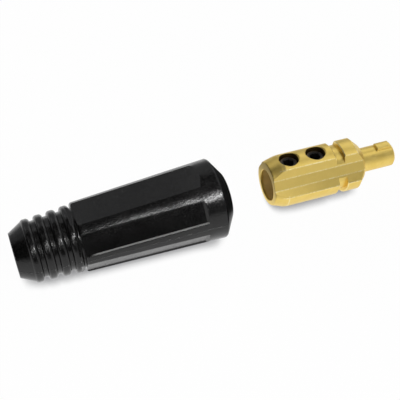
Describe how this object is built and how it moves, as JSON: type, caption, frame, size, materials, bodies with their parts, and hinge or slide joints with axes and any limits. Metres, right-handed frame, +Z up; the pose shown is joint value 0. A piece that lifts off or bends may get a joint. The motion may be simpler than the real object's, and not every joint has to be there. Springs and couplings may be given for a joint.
{
  "type": "welding cable plug",
  "caption": "Welding cable plug shown apart: ribbed, tapered rubber insulating sleeve and a brass plug body with contact pin, bayonet lug and hexagon socket clamp screws.",
  "frame": {"origin": "middle of the footprint of both pieces, on the surface they lie on", "axes": "+X along the plug from the cable end to the contact pin, +Z up, -Y towards the side the picture is taken from"},
  "size_m": [0.207, 0.0418, 0.041],
  "materials": {
    "black_rubber": "glossy moulded",
    "brass": "machined",
    "black_steel": "black oxide steel"
  },
  "bodies": {
    "plug": {"insulating_sleeve": "black_rubber", "plug_body": "brass"},
    "front_screw": {"clamp_screw_front": "black_steel"},
    "rear_screw": {"clamp_screw_rear": "black_steel"}
  },
  "joints": [
    {"name": "front_screw_travel", "type": "slide", "parent": "plug", "child": "front_screw", "axis": [0, 0, 1], "range_m": [-0.0035, 0.004]},
    {"name": "rear_screw_travel", "type": "slide", "parent": "plug", "child": "rear_screw", "axis": [0, 0, 1], "range_m": [-0.0035, 0.004]}
  ]
}
